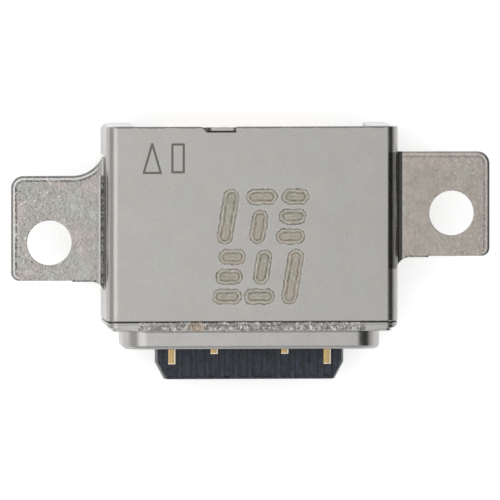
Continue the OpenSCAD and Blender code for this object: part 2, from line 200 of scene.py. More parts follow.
def round_edges(piece, widest, segments):
    """Bevels the marked edges by their widths, and keeps the flats' normals flat."""
    bevel = piece.modifiers.new("broken_edges", "BEVEL")
    bevel.limit_method = "WEIGHT"
    bevel.width = widest
    bevel.segments = segments
    bevel.profile = 0.5
    bevel.material = -1
    bevel.use_clamp_overlap = False
    seen = bpy.context.evaluated_depsgraph_get()
    rounded = bpy.data.meshes.new_from_object(piece.evaluated_get(seen), depsgraph=seen)
    piece.modifiers.clear()
    sharp_cornered, piece.data = piece.data, rounded
    bpy.data.meshes.remove(sharp_cornered)
    rounded.name = piece.name
    even_normals(rounded)


# %% [markdown]
# ## Node helpers for the finishes
# Each finish is a Principled shader fed by a few procedural patterns. All of them read Object
# coordinates, scaled so that one unit is a millimetre, so a pattern's scale says how many grains
# fit in a millimetre and nothing slides when the part turns.

# %% Small helpers that add one shader node
def put(tree, kind, inputs=None, **settings):
    """Adds a node; an input given as a socket is linked, and any other value is set on it."""
    node = tree.nodes.new(kind)
    for name, value in settings.items():
        setattr(node, name, value)
    for key, value in (inputs or {}).items():
        if isinstance(value, bpy.types.NodeSocket):
            tree.links.new(value, node.inputs[key])
        else:
            node.inputs[key].default_value = value
    return node


def maths(tree, operation, a, b=0.0, clamp=False):
    """One sum on numbers, kept between 0 and 1 where clamp says so."""
    inputs = {0: a, 1: b}
    return put(tree, "ShaderNodeMath", inputs, operation=operation, use_clamp=clamp).outputs[0]


def vectors(tree, operation, a, b=(0, 0, 0)):
    """One sum on vectors; a length or a dot product gives a number."""
    node = put(tree, "ShaderNodeVectorMath", {0: a, 1: b}, operation=operation)
    return node.outputs["Value" if operation in ("LENGTH", "DOT_PRODUCT") else "Vector"]


def ramp(tree, value, low, high, start=0.0, end=1.0):
    """A soft step: start below low, end above high."""
    inputs = {"Value": value, "From Min": low, "From Max": high, "To Min": start, "To Max": end}
    node = put(tree, "ShaderNodeMapRange", inputs, interpolation_type="SMOOTHSTEP")
    return node.outputs["Result"]


def blend(tree, factor, a, b):
    """Mixes two colours, b over a."""
    node = put(tree, "ShaderNodeMix", data_type="RGBA")
    for key, value in (("Factor_Float", factor), ("A_Color", a), ("B_Color", b)):
        socket = next(s for s in node.inputs if s.identifier == key)
        if isinstance(value, bpy.types.NodeSocket):
            tree.links.new(value, socket)
        else:
            socket.default_value = value
    return next(s for s in node.outputs if s.identifier == "Result_Color")


def noise(tree, point, scale, detail=4.0, roughness=0.5, stretch=(1, 1, 1)):
    """Fine cloud pattern; stretch squeezes it along an axis, which makes streaks."""
    squeezed = vectors(tree, "MULTIPLY", point, stretch)
    inputs = {"Vector": squeezed, "Scale": scale, "Detail": detail, "Roughness": roughness}
    return put(tree, "ShaderNodeTexNoise", inputs).outputs["Fac"]


# %% Start a finish
def new_finish(name):
    """A material with its Principled shader and a point in millimetres on the piece."""
    material = bpy.data.materials.new(name)
    material.use_nodes = True
    tree = material.node_tree
    shader = tree.nodes["Principled BSDF"]
    place = put(tree, "ShaderNodeTexCoord").outputs["Object"]
    point = vectors(tree, "MULTIPLY", place, (1 / mm, 1 / mm, 1 / mm))
    return material, tree, shader, point


def roughen(tree, shader, height, depth):
    """Turns a pattern into a shallow relief of the given depth."""
    relief = put(tree, "ShaderNodeBump", {"Strength": 1.0, "Distance": depth, "Height": height})
    tree.links.new(relief.outputs["Normal"], shader.inputs["Normal"])


# %% [markdown]
# ## Laser marks on the cover
# The maker's lasers burn a small thin mark and a large broad one into the cover. A laser draws
# strokes, so each mark is a few straight strokes, and a stroke is everything within half its
# width of a line. The distance to the nearest line gives the burnt middle and the darker rim from
# one number. The marks here are plain bars, a triangle and an upright rectangle, and say nothing.

# %% Distance to the nearest of some strokes
def stroke_distance(tree, point, start, end):
    """How far the point is from the straight line between two places on the cover."""
    start = Vector((*start, 0))
    along = Vector((*end, 0)) - start
    away = vectors(tree, "SUBTRACT", point, start)
    reach = vectors(tree, "DOT_PRODUCT", away, along / along.length_squared)
    reach = maths(tree, "ADD", reach, 0.0, clamp=True)
    inputs = {0: tuple(along), "Scale": reach}
    nearest = put(tree, "ShaderNodeVectorMath", inputs, operation="SCALE").outputs["Vector"]
    return vectors(tree, "LENGTH", vectors(tree, "SUBTRACT", away, nearest))


def nearest_stroke(tree, point, strokes):
    """How far the point is from the nearest of the strokes."""
    distance = stroke_distance(tree, point, *strokes[0])
    for stroke in strokes[1:]:
        distance = maths(tree, "MINIMUM", distance, stroke_distance(tree, point, *stroke))
    return distance


# %% Where the strokes lie, in millimetres on the cover
ROW_HIGH, ROW_LOW = 4.05, 1.93  # the middles of the two rows of broad marks
LEAN = 0.17  # how far an upright bar leans, as a share of its height
BROAD, FINE = 0.27, 0.03  # half the widths of the strokes


def leaning_bar(x, y, half):
    """The two ends of a bar round x, y that reaches half its height up and down."""
    return (x - LEAN * half, y - half), (x + LEAN * half, y + half)


def level_bar(x, y, half):
    """The two ends of a level bar round x, y."""
    return (x - half, y), (x + half, y)


broad_strokes = [
    leaning_bar(-0.86, ROW_HIGH, 0.7),
    level_bar(0.33, ROW_HIGH + 0.7, 0.27),
    leaning_bar(0.22, ROW_HIGH - 0.36, 0.32),
    level_bar(1.52, ROW_HIGH + 0.7, 0.2),
    level_bar(1.42, ROW_HIGH, 0.2),
    level_bar(1.34, ROW_HIGH - 0.7, 0.24),
    level_bar(-0.72, ROW_LOW + 0.7, 0.2),
    level_bar(-0.82, ROW_LOW, 0.2),
    level_bar(-0.9, ROW_LOW - 0.7, 0.24),
    leaning_bar(0.36, ROW_LOW + 0.34, 0.34),
    level_bar(0.24, ROW_LOW - 0.7, 0.27),
    leaning_bar(1.42, ROW_LOW, 0.7),
]
fine_strokes = [
    ((-3.84, 5.6), (-3.24, 5.6)),
    ((-3.24, 5.6), (-3.54, 6.62)),
    ((-3.54, 6.62), (-3.84, 5.6)),
    ((-2.83, 5.62), (-2.43, 5.62)),
    ((-2.43, 5.62), (-2.43, 6.6)),
    ((-2.43, 6.6), (-2.83, 6.6)),
    ((-2.83, 6.6), (-2.83, 5.62)),
]
print(len(broad_strokes), "broad strokes and", len(fine_strokes), "fine ones")

# %% [markdown]
# ## Steel
# The cover is rolled stainless strip. Its top has been rubbed in the polishing drum, which leaves
# a silky grey with faint cross scratches and small pits, while the ears keep more of the strip's
# mottled mill surface. One recipe makes both: a base grey, clouds, scratches and pits, each with
# its own strength.

# %% The patterns that every steel shares
def steel_patterns(tree, point):
    """Clouds, fine grain, cross scratches and pits, each from 0 to 1."""
    clouds = noise(tree, point, 0.9, 5, 0.6)
    grain = noise(tree, point, 14, 5, 0.7)
    streaks = noise(tree, point, 1.0, 6, 0.65, stretch=(0.9, 19, 19))
    scratches = ramp(tree, streaks, 0.6, 0.68)
    speckle = noise(tree, point, 10, 3, 0.6)
    pits = ramp(tree, speckle, 0.7, 0.76)
    return clouds, grain, scratches, pits


def scaled(tree, value, low, high):
    """A 0 to 1 pattern spread evenly between two values."""
    inputs = {"Value": value, "From Min": 0.25, "From Max": 0.75, "To Min": low, "To Max": high}
    return put(tree, "ShaderNodeMapRange", inputs).outputs["Result"]


def times(tree, *values):
    """The product of patterns and numbers."""
    total = values[0]
    for value in values[1:]:
        total = maths(tree, "MULTIPLY", total, value)
    return total


def band(tree, value, low, high, soft):
    """1 between low and high, fading to 0 over soft on both sides."""
    inner = ramp(tree, value, low - soft, low + soft)
    return times(tree, inner, ramp(tree, value, high - soft, high + soft, 1, 0))


def grey_times(tree, colour, factor):
    """A colour made lighter or darker by a factor that varies over the surface."""
    spread = put(tree, "ShaderNodeCombineXYZ", {0: factor, 1: factor, 2: factor}).outputs[0]
    return vectors(tree, "MULTIPLY", colour, spread)


# %% How far a point on an ear is from the ear's outline
ROOT_R, REAR_R, FRONT_R = 1.13, 0.44, 0.29  # the outline's radii, as the cover's solid has them


def ear_limits(side):
    """The front and rear of an ear in millimetres, read beyond its screw hole's middle."""
    beyond = [v.co.y for v in nodes["outer_cover"].data.vertices if side * v.co.x > 7.2 * mm]
    return min(beyond) / mm, max(beyond) / mm


def corner_distance(tree, across, along, radius):
    """Inside a rounded corner: how far the point is from the edge. Both inputs are distances to
    the straight edges; away from the corner the answer is just the radius."""
    a = maths(tree, "MAXIMUM", maths(tree, "SUBTRACT", radius, across), 0.0)
    b = maths(tree, "MAXIMUM", maths(tree, "SUBTRACT", radius, along), 0.0)
    b = times(tree, b, maths(tree, "GREATER_THAN", a, 0.0))
    both = put(tree, "ShaderNodeCombineXYZ", {0: a, 1: b}).outputs[0]
    return maths(tree, "SUBTRACT", radius, vectors(tree, "LENGTH", both))


def outline_distance(tree, out, y, side):
    """The distance to an ear's outline, in millimetres; only the left ear has the wide root."""
    front, rear = ear_limits(side)
    across = maths(tree, "SUBTRACT", cover_high.x / mm, out)
    to_rear = maths(tree, "SUBTRACT", rear, y)
    to_front = maths(tree, "SUBTRACT", y, front)
    at_rear = to_rear
    if side < 0:
        in_root = maths(tree, "MAXIMUM", maths(tree, "SUBTRACT", wall_x / mm + ROOT_R, out), 0.0)
        from_middle = {0: in_root, 1: maths(tree, "ADD", to_rear, ROOT_R)}
        arm = put(tree, "ShaderNodeCombineXYZ", from_middle).outputs[0]
        at_rear = maths(tree, "SUBTRACT", vectors(tree, "LENGTH", arm), ROOT_R)
    nearest = maths(tree, "MINIMUM", corner_distance(tree, across, to_rear, REAR_R), at_rear)
    return maths(tree, "MINIMUM", nearest, corner_distance(tree, across, to_front, FRONT_R))


print("ears from", [[round(v, 3) for v in ear_limits(side)] for side in (-1, 1)], "mm")

# %% [markdown]
# ## The cover's finish, layer by layer
# The layers follow the sheet's life: the strip's grey and its wear, painted shade and highlight
# lines along the ears' punched edges, painted shade in the hollows of the bends, a dark line along
# the rear edge with painted light and shade on the tabs, and last the laser's marks. Each layer
# takes the colour so far and gives it back changed. What they share, such as how far a point is
# from the side wall, is worked out once and kept in `at`.

# %% The cover's colours
COVER_GREY = (0.41, 0.401, 0.381, 1)
LEFT_EAR_GREY = (0.392, 0.377, 0.354, 1)
RIGHT_EAR_GREY = (0.40, 0.364, 0.327, 1)
PINK, GREEN = (0.57, 0.48, 0.44, 1), (0.48, 0.525, 0.47, 1)
SPECK = (0.13, 0.12, 0.115, 1)
# The next three colours paint shade, shade in the bends' hollows and highlights; the last also
# colours the bright specks.
SHADE = (0.07, 0.07, 0.075, 1)
GLINT = (0.85, 0.85, 0.84, 1)
PAINTED_HOLLOW_SHADE = (0.03, 0.029, 0.028, 1)
BURNT, BURNT_BROWN = (0.30, 0.285, 0.225, 1), (0.36, 0.30, 0.25, 1)
BURNT_RIM = (0.1, 0.097, 0.082, 1)
MARK_DARK = (0.09, 0.085, 0.07, 1)


# %% Where a point lies on the cover
def places(tree, point):
    """Masks from 0 to 1 and measures in millimetres that the cover's layers share."""
    x, y, z = put(tree, "ShaderNodeSeparateXYZ", {0: point}).outputs
    out = maths(tree, "ABSOLUTE", x)
    on_left = maths(tree, "LESS_THAN", x, 0.0)
    on_ear = ramp(tree, out, wall_x / mm + 0.05, wall_x / mm + 0.35)
    return SimpleNamespace(
        point=point,
        y=y,
        z=z,
        out=out,
        reach=maths(tree, "SUBTRACT", out, wall_x / mm),
        step=maths(tree, "SUBTRACT", cover_high.y / mm, y),
        on_left=on_left,
        on_right=maths(tree, "SUBTRACT", 1.0, on_left),
        on_ear=on_ear,
        off_ear=maths(tree, "SUBTRACT", 1.0, on_ear),
        on_top=ramp(tree, z, top_z / mm - 0.03, top_z / mm - 0.01),
        rough=ramp(tree, noise(tree, point, 9, 4, 0.75), 0.42, 0.56),
    )


# %% The strip's grey, tinted pink and green where it was annealed
def strip_grey(tree, at, clouds, grain):
    """Also returns the pattern that the tints follow."""
    ear_grey = blend(tree, at.on_left, RIGHT_EAR_GREY, LEFT_EAR_GREY)
    colour = blend(tree, at.on_ear, COVER_GREY, ear_grey)
    hue = noise(tree, vectors(tree, "ADD", at.point, (31, 7, 0)), 1.1, 3, 0.55)
    each_ear = ramp(tree, at.on_left, 0, 1, 0.3, 0.75)
    tint = maths(tree, "ADD", 0.2, times(tree, at.on_ear, each_ear))
    pink = times(tree, ramp(tree, hue, 0.5, 0.66), tint)
    green = times(tree, ramp(tree, hue, 0.34, 0.48, 1, 0), tint)
    colour = blend(tree, times(tree, pink, 0.5), colour, PINK)
    colour = blend(tree, times(tree, green, 0.35), colour, GREEN)
    colour = grey_times(tree, colour, scaled(tree, clouds, 0.97, 1.03))
    return grey_times(tree, colour, scaled(tree, grain, 0.993, 1.007)), hue


# %% Mottle and specks on the ears, scratches and pits on the rest
def worn(tree, at, colour, scratches, pits):
    """Also returns the mottle and the bright specks, which stand up a little in the relief."""
    inputs = {"Vector": at.point, "Scale": 3.6, "Detail": 3.5, "Roughness": 0.6, "Distortion": 1.8}
    mottle = put(tree, "ShaderNodeTexNoise", inputs).outputs["Fac"]
    mottled = scaled(tree, mottle, 0.82, 1.16)
    mottled = put(tree, "ShaderNodeMix", {0: at.on_ear, 2: 1.0, 3: mottled}).outputs[0]
    colour = grey_times(tree, colour, mottled)
    wear = ramp(tree, at.out, wall_x / mm + 0.9, wall_x / mm + 2.4, 0.3, 1.0)
    more_on_left = maths(tree, "ADD", 0.5, times(tree, at.on_left, 0.5))
    wear = times(tree, wear, more_on_left, at.on_ear)
    dark = ramp(tree, noise(tree, at.point, 9, 2, 0.8), 0.6, 0.65)
    elsewhere = vectors(tree, "ADD", at.point, (5, 3, 9))
    bright = ramp(tree, noise(tree, elsewhere, 10, 2, 0.8), 0.6, 0.66)
    bright = times(tree, bright, wear, 0.8)
    colour = blend(tree, times(tree, dark, wear, 0.85), colour, SPECK)
    colour = blend(tree, bright, colour, GLINT)
    colour = blend(tree, times(tree, scratches, 0.16), colour, (0.62, 0.61, 0.59, 1))
    colour = blend(tree, times(tree, pits, at.off_ear, 0.4), colour, (0.2, 0.19, 0.17, 1))
    return colour, mottle, bright


# %% Painted shade and highlight along an ear's upper outline, where the punch rolled it
def punched_edge(tree, at, colour, side, weight):
    """Painted shade on the roll, a painted highlight line where it turns flat, and painted shade in
    a torn line inside them. They are fainter on the right ear, which has the shade on the roll only
    round its tip. Also returns the torn line, which is sunk a little."""
    edge = outline_distance(tree, at.out, at.y, side)
    past_root = ramp(tree, at.reach, 0.1, 0.4)
    here = times(tree, at.on_left if side < 0 else at.on_right, past_root)
    # Painted shade on the roll, a painted highlight line and painted shade in a torn line.
    roll = times(tree, band(tree, edge, -0.5, 0.066, 0.014), here)
    if side > 0:
        tip = cover_high.x / mm
        roll = times(tree, roll, ramp(tree, at.out, tip - 0.42, tip - 0.22), 1.5)
    line = times(tree, band(tree, edge, 0.085, 0.125, 0.014), here, weight)
    torn = times(tree, band(tree, edge, 0.155, 0.215, 0.02), at.rough, here, weight)
    colour = blend(tree, times(tree, roll, 0.62), colour, (0.14, 0.145, 0.16, 1))
    colour = blend(tree, times(tree, line, 0.6), colour, GLINT)
    return blend(tree, times(tree, torn, 0.75), colour, SHADE), torn


# %% Painted shade in the hollow of an ear's bend and along the sheared step in the ear's front edge
def painted_bend_shade(tree, at, colour, side):
    """Paints shade into the inside of a bend. The left one has a painted gleam beside it; on the
    right a painted dark reflection goes on over the cover's own bend, with faint fold lines."""
    this_side = at.on_left if side < 0 else at.on_right
    front, rear = ear_limits(side)
    beside = times(tree, this_side, band(tree, at.y, front - 0.4, rear + 0.02, 0.03))
    low = times(tree, beside, ramp(tree, at.z, top_z / mm - 0.7, top_z / mm - 0.4, 1, 0))
    if side < 0:
        broken = ramp(tree, at.rough, 0, 1, 0.6, 1)
        hollow = times(tree, band(tree, at.reach, 0.035, 0.15, 0.016), low, broken)
    else:
        folds = noise(tree, at.point, 6, 2, 0.6, stretch=(6, 0.3, 1))
        hollow = band(tree, at.reach, -0.03, 0.215, 0.012)
        hollow = times(tree, hollow, low, scaled(tree, folds, 0.95, 1.0))
        # A painted dark reflection over the cover's own bend beside the ear, with faint fold lines.
        dark_reflection_mask = band(tree, at.reach, -0.36, -0.03, 0.03)
        dark_reflection_mask = times(tree, dark_reflection_mask, beside, scaled(tree, folds, 0.5, 0.9))
        hollow = maths(tree, "MAXIMUM", hollow, dark_reflection_mask)
    # Painted shade in the hollow.
    colour = blend(tree, times(tree, hollow, 0.94), colour, PAINTED_HOLLOW_SHADE)
    if side < 0:
        # A painted gleam beside the left hollow.
        gleam = times(tree, band(tree, at.reach, 0.18, 0.215, 0.012), low, 0.5)
        colour = blend(tree, gleam, colour, GLINT)
    # Painted shade along the sheared step in the ear's front edge.
    sheared = band(tree, maths(tree, "SUBTRACT", at.y, front), -0.12, 0.03, 0.015)
    sheared = times(tree, sheared, band(tree, at.out, 5.45, 6.3, 0.03), this_side, at.rough)
    return blend(tree, times(tree, sheared, 0.7), colour, SHADE)


# %% A ragged dark rear edge, and painted light and shade on the tabs that wrap the rear corners
def rear_edge(tree, at, colour):
    """A ragged dark line along the top's rear edge, a painted reflection that makes the tabs round
    the rear corners bright, and painted shade low on them.
    """
    ragged_by = noise(tree, at.point, 2.2, 4, 0.7, stretch=(1, 0.2, 1))
    ragged_by = scaled(tree, ragged_by, 0.02, 0.08)
    # A ragged dark line along the rear edge.
    rear_dark_line = ramp(tree, maths(tree, "SUBTRACT", at.step, ragged_by), -0.008, 0.008, 1, 0)
    rear_dark_line = times(tree, rear_dark_line, at.off_ear)
    colour = blend(tree, times(tree, rear_dark_line, at.on_top, 0.75), colour, (0.12, 0.118, 0.115, 1))
    # Painted reflection: the rear faces of the tabs round the rear corners are made bright.
    tab_reflection_mask = times(tree, ramp(tree, at.step, 0.03, 0.05, 1, 0), ramp(tree, at.z, 3.2, 3.4, 1, 0))
    colour = blend(tree, times(tree, tab_reflection_mask, 0.6), colour, (0.85, 0.85, 0.85, 1))
    # Painted shade low on those tabs.
    tab_foot_shade = times(tree, ramp(tree, at.z, 0.25, 0.4, 1, 0), ramp(tree, at.step, 0.35, 0.45, 1, 0))
    return blend(tree, times(tree, tab_foot_shade, 0.7), colour, (0.1, 0.1, 0.1, 1))


# %% The laser's marks
def laser_marks(tree, at, colour, hue):
    """Burnt strokes with a double outline, and thin dark ones. Also returns the burnt inside,
    which is rougher, and the rim, which lies a little lower."""
    flat_point = vectors(tree, "MULTIPLY", at.point, (1, 1, 0))
    wobble = noise(tree, at.point, 5.5, 5, 0.7)
    shake = maths(tree, "MULTIPLY", maths(tree, "SUBTRACT", wobble, 0.5), 0.2)
    distance = nearest_stroke(tree, flat_point, broad_strokes)
    distance = maths(tree, "SUBTRACT", maths(tree, "ADD", distance, shake), BROAD)
    patchy = ramp(tree, noise(tree, at.point, 6, 4, 0.7), 0.38, 0.6, 0.3, 1.0)

    def outline(low, high, soft):
        return times(tree, band(tree, distance, low, high, soft), at.on_top, patchy)

    inside = times(tree, ramp(tree, distance, -0.02, 0.02, 1, 0), at.on_top)
    rim = outline(-0.02, 0.015, 0.014)
    burn = scaled(tree, noise(tree, at.point, 3.2, 4, 0.6), 0.85, 1.25)
    burnt = grey_times(tree, BURNT[:3], burn)
    burnt = blend(tree, ramp(tree, hue, 0.42, 0.58), burnt, BURNT_BROWN)
    colour = blend(tree, times(tree, inside, 0.78), colour, burnt)
    for line, weight, tone in (
        (outline(-0.08, -0.048, 0.012), 0.75, (0.66, 0.65, 0.57, 1)),
        (outline(-0.235, -0.205, 0.012), 0.6, (0.6, 0.6, 0.5, 1)),
        (outline(0.03, 0.06, 0.012), 0.3, (0.62, 0.6, 0.56, 1)),
        (outline(-0.15, -0.118, 0.012), 0.8, BURNT_RIM),
        (rim, 0.8, BURNT_RIM),
    ):
        colour = blend(tree, times(tree, line, weight), colour, tone)
    thin = nearest_stroke(tree, flat_point, fine_strokes)
    thin = times(tree, ramp(tree, thin, FINE, FINE + 0.02, 1, 0), at.on_top)
    return blend(tree, times(tree, thin, 0.85), colour, MARK_DARK), inside, rim


# %% Put the cover's layers together
def cover_finish():
    material, tree, shader, point = new_finish("cover_steel_finish")
    clouds, grain, scratches, pits = steel_patterns(tree, point)
    at = places(tree, point)
    colour, hue = strip_grey(tree, at, clouds, grain)
    colour, mottle, bright = worn(tree, at, colour, scratches, pits)
    torn = []
    for side, weight in ((-1, 1.0), (1, 0.5)):
        colour, line = punched_edge(tree, at, colour, side, weight)
        colour = painted_bend_shade(tree, at, colour, side)
        torn.append(line)
    colour = rear_edge(tree, at, colour)
    colour, inside, rim = laser_marks(tree, at, colour, hue)
    tree.links.new(colour, shader.inputs["Base Color"])
    shader.inputs["Metallic"].default_value = 1.0

    polish = scaled(tree, grain, 0.27, 0.28)
    polish = maths(tree, "ADD", polish, times(tree, at.on_ear, 0.04))
    polish = maths(tree, "ADD", polish, times(tree, inside, 0.1))
    tree.links.new(polish, shader.inputs["Roughness"])

    ear_relief = maths(tree, "ADD", 1.8, times(tree, at.on_left, 1.6))
    raised = [times(tree, grain, 0.035), times(tree, scratches, 0.06)]
    raised += [times(tree, mottle, at.on_ear, ear_relief), bright]
    sunk = [times(tree, rim, 0.6), times(tree, maths(tree, "ADD", *torn), 1.5), pits]
    height = 0.0
    for layer in raised:
        height = maths(tree, "ADD", height, layer)
    for layer in sunk:
        height = maths(tree, "SUBTRACT", height, layer)
    roughen(tree, shader, height, 0.003 * mm)
    return material


cover_steel = cover_finish()

# %% [markdown]
# The shell under the cover is drawn, not folded, so it is a little smoother and cooler. Next to
# the weld the steel has been hot, and heat leaves a straw to brown tint on it.

# %% The shell's steel
SHELL_GREY = (0.435, 0.428, 0.416, 1)


def shell_finish(name, base, bright, rough, depth, shaded=()):
    """Drawn steel; each shaded box, a weight and three ranges in millimetres, gets painted shade.
    """
    material, tree, shader, point = new_finish(name)
    clouds, grain, scratches, pits = steel_patterns(tree, point)
    colour = grey_times(tree, base[:3], scaled(tree, clouds, 0.94, 1.06))
    colour = grey_times(tree, colour, scaled(tree, grain, 0.92, 1.08))
    colour = blend(tree, maths(tree, "MULTIPLY", scratches, 0.25), colour, bright)
    colour = blend(tree, maths(tree, "MULTIPLY", pits, 0.5), colour, (0.18, 0.17, 0.16, 1))
    if shaded:
        x, y, z = put(tree, "ShaderNodeSeparateXYZ", {0: point}).outputs
        for weight, *reach in shaded:
            inside = weight
            for axis, (low, high) in zip((x, y, z), reach):
                inside = times(tree, inside, band(tree, axis, low, high, 0.012))
            colour = blend(tree, inside, colour, (0.04, 0.038, 0.036, 1))
    tree.links.new(colour, shader.inputs["Base Color"])
    shader.inputs["Metallic"].default_value = 1.0
    tree.links.new(scaled(tree, grain, rough - 0.02, rough + 0.03), shader.inputs["Roughness"])
    height = maths(tree, "SUBTRACT", maths(tree, "MULTIPLY", grain, 0.5), pits)
    roughen(tree, shader, height, depth)
    return material


lip_front = shell_low.y / mm
notch_x, notch_y = (-1.81, -0.58), (7.0, 7.22)
near_top = (3.3, 3.6)
# Painted shade: each box darkens a place where shade falls or an edge reflects dark, in the notch,
# its gaps, the lip's front edge and the joints.
shaded = [
    (0.8, notch_x, notch_y, (3.0, 3.4)),  # the floor of the cover's notch
    (0.8, (-1.56, -1.45), notch_y, near_top),  # the left end of the tab in the notch
    (0.8, notch_x, (7.0, 7.075), near_top),  # the gap in front of that tab
    (0.55, (-5, 5), (lip_front - 0.05, lip_front + 0.03), (0, 4)),  # the lip's front edge
    (0.8, (-5.2, 5.2), (0.29, 0.4), near_top),  # the joint that the cover butts on
    (0.5, (-4.5, 4.4), (-0.05, -0.008), near_top),  # the collar's front edge
]
shell_steel = shell_finish(
    "shell_steel_finish", SHELL_GREY, (0.62, 0.62, 0.61, 1), 0.28, 0.001 * mm, shaded
)
plate_steel = shell_finish(
    "plate_steel_finish", (0.24, 0.245, 0.25, 1), (0.4, 0.4, 0.4, 1), 0.3, 0.001 * mm
)

# %% The weld's steel, tinted where it was hottest
TINT_X, TINT_WIDTH = -1.95, 0.3


def weld_finish():
    """Bare metal and soot in fine patches, browned at one place."""
    material, tree, shader, point = new_finish("weld_steel_finish")
    _, grain, _, _ = steel_patterns(tree, point)
    soot = noise(tree, point, 7, 6, 0.75)
    bare, sooty = (0.62, 0.61, 0.575, 1), (0.22, 0.214, 0.2, 1)
    colour = blend(tree, ramp(tree, soot, 0.42, 0.62), sooty, bare)
    colour = grey_times(tree, colour, scaled(tree, grain, 0.85, 1.15))
    x = put(tree, "ShaderNodeSeparateXYZ", {0: point}).outputs[0]
    away = maths(tree, "ABSOLUTE", maths(tree, "SUBTRACT", x, TINT_X))
    ragged = times(tree, maths(tree, "SUBTRACT", soot, 0.5), 0.5)
    away = maths(tree, "ADD", away, ragged)
    tint = ramp(tree, away, 0.5 * TINT_WIDTH, TINT_WIDTH, 0.5, 0.0)
    colour = blend(tree, tint, colour, (0.5, 0.36, 0.25, 1))
    tree.links.new(colour, shader.inputs["Base Color"])
    shader.inputs["Metallic"].default_value = 1.0
    tree.links.new(scaled(tree, soot, 0.28, 0.45), shader.inputs["Roughness"])
    roughen(tree, shader, maths(tree, "ADD", grain, soot), 0.006 * mm)
    return material


weld_steel = weld_finish()

# %% [markdown]
# ## Moulding and gilding
# The tongue is a glass-filled black plastic. It reads blue-grey in soft light because its skin is
# slightly glossy, and a fine mottle comes from the glass. The contacts are stamped copper with a
# gold flash, so they are a metal with a warm colour and faint draw lines.

# %% The black moulding
LANE_PITCH = 0.5
DEEP_BLACK, BLUE_BLACK = (0.004, 0.006, 0.012, 1), (0.03, 0.04, 0.066, 1)


def lane_place(tree, x):
    """How far across its lane a point lies, from 0 to the lanes' pitch."""
    inputs = {0: x, 1: LANE_PITCH, 2: 0.0}
    return put(tree, "ShaderNodeMath", inputs, operation="WRAP").outputs[0]


def moulding_finish():
    """Mottled and streaked along the lanes, with a dark line of painted shade and a pale line of
    painted highlight at each lane's edge.
    """
    material, tree, shader, point = new_finish("black_moulding_finish")
    mottle = noise(tree, point, 4, 5, 0.7)
    fibre = noise(tree, point, 2.2, 5, 0.7, stretch=(5, 1, 5))
    x, y, z = put(tree, "ShaderNodeSeparateXYZ", {0: point}).outputs
    lane = lane_place(tree, x)
    in_front = ramp(tree, y, 0, 0.1, 1, 0)
    # A dark line of painted shade and a pale line of painted highlight at each lane's edge.
    lane_shade_line = times(tree, band(tree, lane, 0.395, 0.455, 0.012), in_front)
    lane_highlight_line = times(tree, band(tree, lane, 0.36, 0.385, 0.01), in_front)
    colour = blend(tree, ramp(tree, mottle, 0.38, 0.62), DEEP_BLACK, BLUE_BLACK)
    colour = blend(tree, ramp(tree, fibre, 0.5, 0.62, 0, 0.7), colour, (0.05, 0.066, 0.1, 1))
    colour = blend(tree, times(tree, lane_highlight_line, 0.4), colour, (0.06, 0.075, 0.1, 1))
    colour = blend(tree, times(tree, lane_shade_line, 0.9), colour, (0.002, 0.003, 0.004, 1))
    tree.links.new(colour, shader.inputs["Base Color"])
    tree.links.new(scaled(tree, mottle, 0.36, 0.52), shader.inputs["Roughness"])
    roughen(tree, shader, maths(tree, "ADD", mottle, fibre), 0.005 * mm)
    return material


black_moulding = moulding_finish()

# %% Where the contacts end; both rows and both halves are alike
contact_ends = []
for n in range(1, 7):
    low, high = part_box(f"upper_contact_{n}")
    contact_ends.append((abs(low.x + high.x) / 2 / mm, low.y / mm))
print("contacts end at", [(round(x, 2), round(y, 2)) for x, y in contact_ends], "mm")


# %% The gilt contacts
def gilt_finish():
    """Gold with draw lines, with a pale painted highlight along each contact's right edge and tip.
    """
    material, tree, shader, point = new_finish("contact_gold_finish")
    draw = noise(tree, point, 4, 4, 0.6, stretch=(9, 0.8, 3))
    wear = noise(tree, point, 2.5, 4, 0.6)
    colour = blend(tree, scaled(tree, draw, 0, 1), (0.36, 0.24, 0.095, 1), (0.48, 0.34, 0.15, 1))
    colour = blend(tree, scaled(tree, wear, 0, 0.3), colour, (0.8, 0.64, 0.38, 1))
    x, y, z = put(tree, "ShaderNodeSeparateXYZ", {0: point}).outputs
    # Painted highlight along each contact's right edge, and below at its tip.
    edge_highlight_mask = band(tree, lane_place(tree, x), 0.332, 0.4, 0.01)
    out = maths(tree, "ABSOLUTE", x)
    for place, end in contact_ends:
        this_lane = band(tree, out, place - 0.2, place + 0.2, 0.01)
        tip = times(tree, band(tree, y, end - 0.02, end + 0.04, 0.01), this_lane)
        edge_highlight_mask = maths(tree, "MAXIMUM", edge_highlight_mask, tip)
    colour = blend(tree, times(tree, edge_highlight_mask, 0.75), colour, (0.9, 0.86, 0.75, 1))
    tree.links.new(colour, shader.inputs["Base Color"])
    shader.inputs["Metallic"].default_value = 1.0
    tree.links.new(scaled(tree, wear, 0.2, 0.3), shader.inputs["Roughness"])
    roughen(tree, shader, draw, 0.001 * mm)
    return material


contact_gold = gilt_finish()
finishes = (cover_steel, shell_steel, plate_steel, weld_steel, black_moulding, contact_gold)
print("finishes:", [material.name for material in finishes])

# %% [markdown]
# ## The folded cover
# A press punches the blank from above. Where the punch goes in, the sheet's edge is drawn down
# into a soft roll, and where it comes out the edge stays crisp. So the ears' upper outline gets a
# wide rounding and everything else a narrow one. The screw holes are made finer first, because a
# hole of twenty flats would show.

# %% Dress the cover
DIE_ROLL = 0.09 * mm
CRISP = 0.022 * mm


